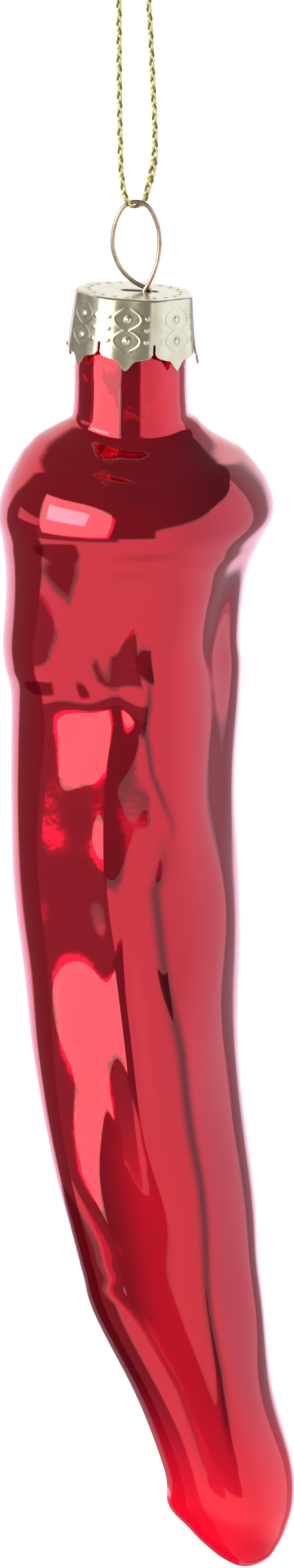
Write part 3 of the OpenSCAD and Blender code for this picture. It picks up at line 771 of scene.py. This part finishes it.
# The sheet: its profile turned round the cap, pushed out by the relief and the flares, slit between
# the tabs and leaned over; also the relief, the top and the grooves as marks for the finish's painted
# highlight and shade
def capSheet(v):
    tab, delta, corner = tabColumns(v)
    middle = np.radians(v["turn"] + 360 / v["tabs"] * tab)
    angle = middle + np.radians(delta)
    outward = np.stack([np.sin(middle), -np.cos(middle)], -1)
    direction = np.stack([np.sin(angle), -np.cos(angle)], -1)
    radius, depth, rim = capProfile(direction, delta, v)
    row = np.arange(len(radius))[:, None]
    onSkirt = row >= v["topRows"] + v["edgeRows"]
    relief, paintedGrooveShade = (np.where(onSkirt, m, 0) for m in tabRelief(radius * np.sin(np.radians(delta)), depth))
    flare = np.array(v["flares"])[tab] * np.clip(depth / v["height"], 0, 1.2) ** 4
    fromDot = (np.degrees(angle) * v["dots"] / 360) % 1 - 0.5
    ringDots = v["dotHigh"] * np.exp(-((radius - v["dotRing"]) / v["dotHalf"]) ** 2) * np.exp(
        -(fromDot / v["dotShare"]) ** 2)
    lift = np.where(onSkirt | (depth > 0), 0, ringDots)
    flatPoint = radius[..., None] * direction + (relief + flare)[..., None] * outward
    points = np.concatenate([flatPoint, (lift - depth)[..., None]], -1)

    quads, _ = gridQuads(len(radius), len(delta))
    rowOf, colOf = np.divmod(np.arange(len(quads)), len(delta))
    inSlit = corner[colOf] | corner[(colOf + 1) % len(delta)]
    keep = ~(inSlit & (rowOf >= v["topRows"] + v["edgeRows"] + v["skirtRows"]))
    used, renumbered = np.unique(quads[keep][:, ::-1], return_inverse=True)
    tilt = math.radians(v["tilt"])
    p = points.reshape(-1, 3)[used]
    placed = np.stack([p[:, 0] * math.cos(tilt) + p[:, 2] * math.sin(tilt) + v["x"], p[:, 1],
                       -p[:, 0] * math.sin(tilt) + p[:, 2] * math.cos(tilt) + v["z"]], -1)
    # share of painted shade on the top
    onTop = np.where(onSkirt, 0, np.clip((rim + v["topOver"] - radius) / v["topFade"], 0, 1))
    marks = [m.reshape(-1)[used] for m in (relief / reliefValues["full"], onTop, paintedGrooveShade)]
    return placed, renumbered.reshape(-1, 4), marks


# Pale gold, with painted highlight on the relief, painted shade on the top and brown painted shade in the
# grooves
def capFinish(v):
    finish, bench = newFinish("goldCap")
    place = bench.place()
    cloud = bench.noise(place, 320.0, 3.0, 0.6)
    grain = bench.noise(place, 3200.0)
    # painted highlight: brighter on the raised relief, with an uneven tone from the cloud
    bright = (bench.painted("relief").rise(0.0, 0.5) * 0.55 + cloud.rise(0.3, 0.7) * 0.6).least(1)
    colour = bench.blend(bright, v["shade"], v["gold"])
    # painted shade: darker on the top, mottled by the cloud
    colour = bench.blend(bench.painted("top") * (0.5 + 0.5 * cloud.rise(0.35, 0.6)), colour, v["top"])
    # painted shade: brown in the grooves beside the ridges and round the beads
    colour = bench.blend(bench.painted("paintedGrooveShade").least(1) * 0.5, colour, v["paintedGrooveShade"])
    bench.end(bench.surface(Base_Color=colour, Metallic=0.88, Roughness=0.13 + grain * 0.1,
                            Normal=bench.bump(grain * 0.000006)))
    return finish


points, quads, marks = capSheet(capValues)
capPiece = addPiece("stampedGoldCap", points, quads, finishes=[capFinish(capValues)])
for name, values in zip(("relief", "top", "paintedGrooveShade"), marks):
    paint(capPiece, name, values)
wall = capPiece.modifiers.new("sheet", "SOLIDIFY")
wall.thickness = capValues["sheet"] * mm
wall.offset = -1
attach(capPiece, "cap")
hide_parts("metal_cap")
print("cap stamped,", len(points), "points")


# Floor, world and lamps: a pale floor that ends in front, a dim room beyond it, white behind.
# Bearings are degrees round from the camera's side, levels are degrees above the horizon, as from and to
stageValues = {
    "floorZ": -300, "frontEdge": -1030, "floorHalf": 8.0, "floorColour": (0.86, 0.86, 0.87, 1),
    "room": 0.12, "far": 0.2, "back": 1.1, "soft": 0.55, "side": 0.75, "table": 0.75,
    "backTint": (0.87, 0.83, 1.0), "highTint": (1.0, 0.98, 0.98), "sideTint": (0.88, 0.92, 1.0),
    "backRight": (138, 146), "backLeft": (-136, -131), "rightSlant": 0.4, "leftSlant": 0.6,
    "backTop": (34, 46), "high": (3, 9), "highDim": 0.27, "wallEnd": (117, 119), "wallEndDim": 0.65,
    "wallTop": (38, 40), "archFrom": 8, "archBend": 0.058, "glare": (40, 85), "glareMore": 0.5,
    "patch": (-112, -84), "patchLevel": (1, 10), "patchShare": 0.9, "floorWall": -10, "worldWall": 20}
# distances in metres from the middle of the floor
floorShade = {"left": (-88, 0), "tableEnd": (0.58, 0.62), "under": (0.08, 0.2), "underDim": 0.7,
              "besideEnd": (0.4, 0.44), "besideTo": (-52, -48), "besideDim": 0.8}


# What polished surfaces see at a bearing and level: the pale backdrop behind, a dim room with a bright
# patch on its left wall, and the bright side wall from the given bearing on, its edge leaning away higher up
def roomShade(bench, bearing, level, wallFrom, v):
    behindRight = (bearing - level * v["rightSlant"]).rise(*v["backRight"])
    behindLeft = 1 - (bearing - level * v["leftSlant"]).rise(*v["backLeft"])
    behind = (behindRight + behindLeft).least(1) * (1 - level.rise(*v["backTop"]))
    high = level.rise(*v["high"])                            # the backdrop is greyer higher up
    arch = (level - v["archFrom"]).most(0)
    wall = (bearing - arch * arch * v["archBend"]).rise(wallFrom - 1, wallFrom + 1)
    wall = wall * (1 - v["wallEndDim"] * bearing.rise(*v["wallEnd"])) * (1 - level.rise(*v["wallTop"]))
    wall = wall.most(bearing.band(*v["patch"], 2) * level.band(*v["patchLevel"], 1) * v["patchShare"])
    glare = bearing.rise(*v["glare"])                        # the side wall is brighter farther round
    back = v["back"] * (1 - v["highDim"] * high)
    side = v["side"] * (1 + v["glareMore"] * glare)
    shade = v["room"] + (back - v["room"]) * behind + (side - v["room"]) * wall
    sideTint = bench.blend(glare, (1, 1, 1), v["sideTint"])
    return shade, bench.blend(behind, sideTint, bench.blend(high, v["backTint"], v["highTint"]))


# Share of rays that see plain white, and share of rays that mirror the room
def rayShares(bench):
    ray = bench.node("ShaderNodeLightPath")
    seen = (ray.pick("Is Camera Ray") + ray.pick("Is Transmission Ray")).least(1)
    return seen, ray.pick("Is Glossy Ray") * (1 - seen)


# A matt white floor that mirrors with painted light: a bright table on the left, and painted shadow under the
# pepper and beside it
def floorFinish(v, f):
    finish, bench = newFinish("paleFloor")
    x, y, _ = bench.xyz(bench.place())
    bearing = x.maths("ARCTAN2", x, -y) * (180 / math.pi)
    away = (x * x + y * y) ** 0.5
    left = bearing.band(*f["left"], 1)
    near = (1 - away.rise(*f["tableEnd"])) * left
    mirrored, tint = roomShade(bench, bearing, bearing * 0.0, v["floorWall"], v)
    # painted shadow: the mirrored floor is dim under the pepper and beside it
    under = 1 - f["underDim"] + f["underDim"] * away.rise(*f["under"])
    beside = (1 - away.rise(*f["besideEnd"])) * (1 - bearing.rise(*f["besideTo"]))
    dimmed = under * (1 - f["besideDim"] * beside)
    # painted light: a bright table patch on the left of the mirrored floor
    mirrored = mirrored.most(v["table"] * near).most(v["far"] * left) * dimmed
    seen, polished = rayShares(bench)
    lit = bench.surface(Base_Color=v["floorColour"], Roughness=0.9)
    glow = bench.node("ShaderNodeEmission", None, {"Color": (1, 1, 1, 1), "Strength": seen})
    plain = bench.node("ShaderNodeAddShader", None, {0: lit, 1: glow})
    shown = bench.node("ShaderNodeEmission", None, {"Color": tint, "Strength": mirrored})
    bench.end(bench.node("ShaderNodeMixShader", None, {0: polished, 1: plain, 2: shown}))
    return finish


# White where it is seen, the room where it is mirrored, and an even soft light for the rest
def studioWorld(v):
    world = bpy.data.worlds.new("studio")
    bpy.context.scene.world = world
    bench = Bench(world)
    x, y, z = bench.xyz(bench.node("ShaderNodeTexCoord").pick("Generated"))
    bearing = x.maths("ARCTAN2", x, -y) * (180 / math.pi)
    level = z.maths("ARCSINE", z) * (180 / math.pi)
    mirrored, tint = roomShade(bench, bearing, level, v["worldWall"], v)
    seen, polished = rayShares(bench)
    strength = seen + (1 - seen) * (polished * mirrored + (1 - polished) * v["soft"])
    colour = bench.blend(polished, (1, 1, 1), tint)
    bench.end(bench.node("ShaderNodeBackground", None, {"Color": colour, "Strength": strength}),
              "ShaderNodeOutputWorld")


# lamps: bearing, height, distance and size in metres; radiance 1 mirrors as white
softboxes = {
    "leftBox": {"bearing": -50, "height": 0.155, "away": 0.9, "size": (1.2, 0.86), "radiance": 2.1},
    "leftCore": {"bearing": -58, "height": 0.25, "away": 0.86, "size": (0.6, 0.24), "radiance": 4.5}}
lampValues = {"colour": (1.0, 0.98, 0.86), "aimZ": -0.12}


# A softbox aimed at the middle of the pepper
def softbox(name, bearing, height, away, size, radiance):
    lamp = bpy.data.lights.new(name, "AREA")
    lamp.shape = "RECTANGLE"
    lamp.size, lamp.size_y = size
    lamp.energy = radiance * math.pi * size[0] * size[1]
    lamp.color = lampValues["colour"]
    holder = bpy.data.objects.new(name, lamp)
    a = math.radians(bearing)
    holder.location = (away * math.sin(a), -away * math.cos(a), height)
    drop = math.atan2(height - lampValues["aimZ"], away)
    holder.rotation_euler = (math.pi / 2 - drop, 0, a)
    bpy.context.collection.objects.link(holder)


half = stageValues["floorHalf"]
floorZ, frontEdge = stageValues["floorZ"] * mm, stageValues["frontEdge"] * mm
floorMesh = bpy.data.meshes.new("floor")
floorMesh.from_pydata([(-half, frontEdge, floorZ), (half, frontEdge, floorZ), (half, half, floorZ),
                       (-half, half, floorZ)], [], [(0, 1, 2, 3)])
floorMesh.materials.append(floorFinish(stageValues, floorShade))
floorPiece = bpy.data.objects.new("floor", floorMesh)
bpy.context.collection.objects.link(floorPiece)
studioWorld(stageValues)
for name, values in softboxes.items():
    softbox(name, **values)
print("stage lit")
